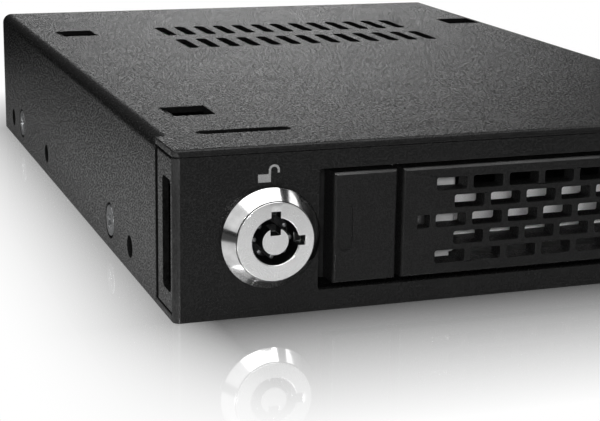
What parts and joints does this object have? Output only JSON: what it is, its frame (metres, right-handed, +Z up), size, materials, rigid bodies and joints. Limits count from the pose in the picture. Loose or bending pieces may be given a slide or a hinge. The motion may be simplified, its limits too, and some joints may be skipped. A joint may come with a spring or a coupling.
{
  "type": "locking drive tray with bay enclosure",
  "caption": "Flat black sheet-steel bay enclosure with a key lock and a removable drive tray that has a perforated swing lever and a sliding release latch.",
  "frame": {"origin": "middle of the enclosure's underside, at the level it stands on", "axes": "+X to the right as seen from the front, +Y from the front panel to the rear, +Z up"},
  "size_m": [0.1016, 0.149, 0.0254],
  "materials": {
    "powder_coat": "fine textured black powder coat on folded sheet steel",
    "tray_paint": "smooth black paint on folded sheet steel",
    "guide_plastic": "black moulded plastic, slightly worn where the tray slides",
    "lever_plastic": "black moulded plastic with a fine spark-eroded texture",
    "block_plastic": "light grey moulded plastic",
    "lock_chrome": "polished chrome plate with a satin face",
    "steel": "zinc-plated steel",
    "black_screw": "black-plated steel screw",
    "drive_aluminium": "bead-blasted aluminium",
    "circuit_board": "green solder mask",
    "connector_plastic": "black moulded connector body",
    "clear_acrylic": "clear moulded acrylic"
  },
  "bodies": {
    "enclosure": {"cover": "powder_coat", "base_plate": "powder_coat", "front_bezel": "powder_coat", "rear_panel": "powder_coat", "left_guide": "guide_plastic", "right_guide": "guide_plastic", "backplane_board": "circuit_board", "drive_socket": "connector_plastic", "status_lamp": "clear_acrylic", "host_data_connector": "connector_plastic", "host_power_connector": "connector_plastic", "side_screws": "steel", "guide_screws": "black_screw", "board_screws": "steel", "lock_body": "lock_chrome", "lock_nut": "steel"},
    "lock_rotor": {"lock_plug": "lock_chrome", "lock_pins": "steel", "lock_cam": "steel", "cam_screw": "steel"},
    "tray": {"tray_pan": "tray_paint", "latch_block": "block_plastic", "hinge_bracket": "tray_paint", "hinge_pin": "steel", "light_guide": "clear_acrylic", "drive_case": "drive_aluminium", "drive_lid": "drive_aluminium", "drive_plug": "connector_plastic", "tray_screws": "black_screw", "drive_screws": "steel", "latch_spring": "steel"},
    "lever": {"lever": "lever_plastic", "lamp_lens": "clear_acrylic"},
    "latch": {"latch_button": "lever_plastic"}
  },
  "joints": [
    {"name": "lock_turn", "type": "hinge", "parent": "enclosure", "child": "lock_rotor", "pos_m": [-0.03656, -0.073, 0.012], "axis": [0, 1, 0], "range_deg": [0, 90]},
    {"name": "tray_slide", "type": "slide", "parent": "enclosure", "child": "tray", "axis": [0, -1, 0], "range_m": [0, 0.13]},
    {"name": "lever_swing", "type": "hinge", "parent": "tray", "child": "lever", "pos_m": [0.0428, -0.0708, 0.0124], "axis": [0, 0, 1], "range_deg": [0, 80]},
    {"name": "latch_slide", "type": "slide", "parent": "tray", "child": "latch", "axis": [-1, 0, 0], "range_m": [0, 0.0016], "stiffness_N_per_m": 400, "springref_m": -0.002, "deforming": ["latch_spring"]}
  ]
}
